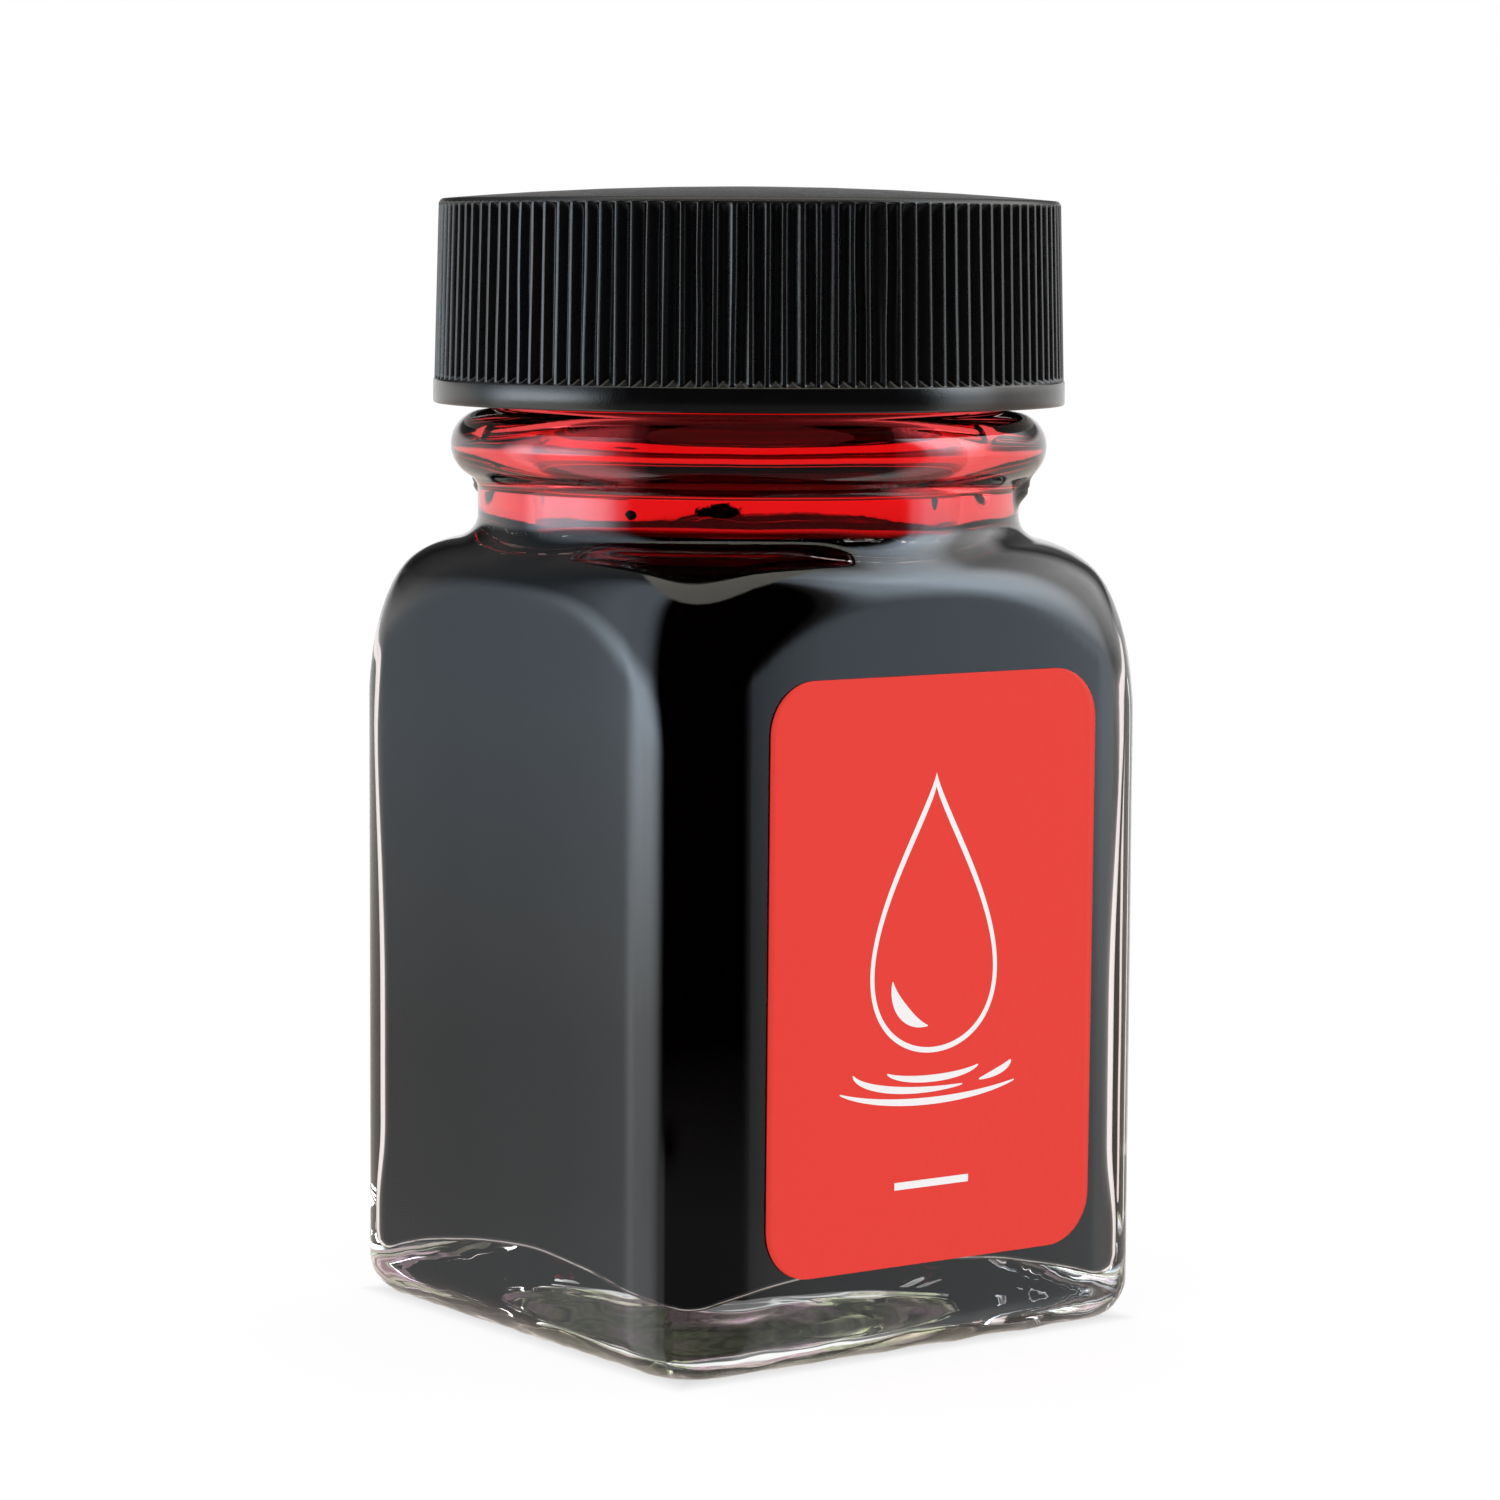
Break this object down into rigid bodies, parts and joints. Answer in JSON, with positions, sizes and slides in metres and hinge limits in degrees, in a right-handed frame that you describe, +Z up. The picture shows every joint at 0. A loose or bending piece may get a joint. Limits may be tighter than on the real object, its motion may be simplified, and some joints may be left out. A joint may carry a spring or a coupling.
{
  "type": "ink bottle",
  "caption": "Square clear-glass ink bottle filled with dark red ink, with a rounded shoulder, a beaded screw neck, a ribbed black screw cap and a red paper label.",
  "frame": {"origin": "centre of the base, at the surface it stands on", "axes": "+Z up along the neck and the cap; the label faces -Y"},
  "size_m": [0.0362, 0.0362, 0.0649],
  "materials": {
    "clear_glass": "clear polished moulded glass",
    "ink": "dark red liquid, nearly black in bulk",
    "label_paper": "red printed paper with a satin coating",
    "liner_foam": "white foamed polyethylene",
    "cap_plastic": "black satin moulded plastic"
  },
  "bodies": {
    "bottle": {"glass_bottle": "clear_glass", "ink": "ink", "front_label": "label_paper"},
    "liner": {"cap_liner": "liner_foam"},
    "cap": {"screw_cap": "cap_plastic"}
  },
  "joints": [
    {"name": "cap_lift", "type": "slide", "parent": "bottle", "child": "liner", "axis": [0, 0, 1], "range_m": [0, 0.01905]},
    {"name": "cap_turn", "type": "hinge", "parent": "liner", "child": "cap", "pos_m": [0, 0, 0.0587], "axis": [0, 0, 1], "range_deg": [0, 2160]}
  ],
  "couplings": [
    {"joint": "cap_lift", "follows": "cap_turn", "m_per_rad": 0.00050531}
  ]
}
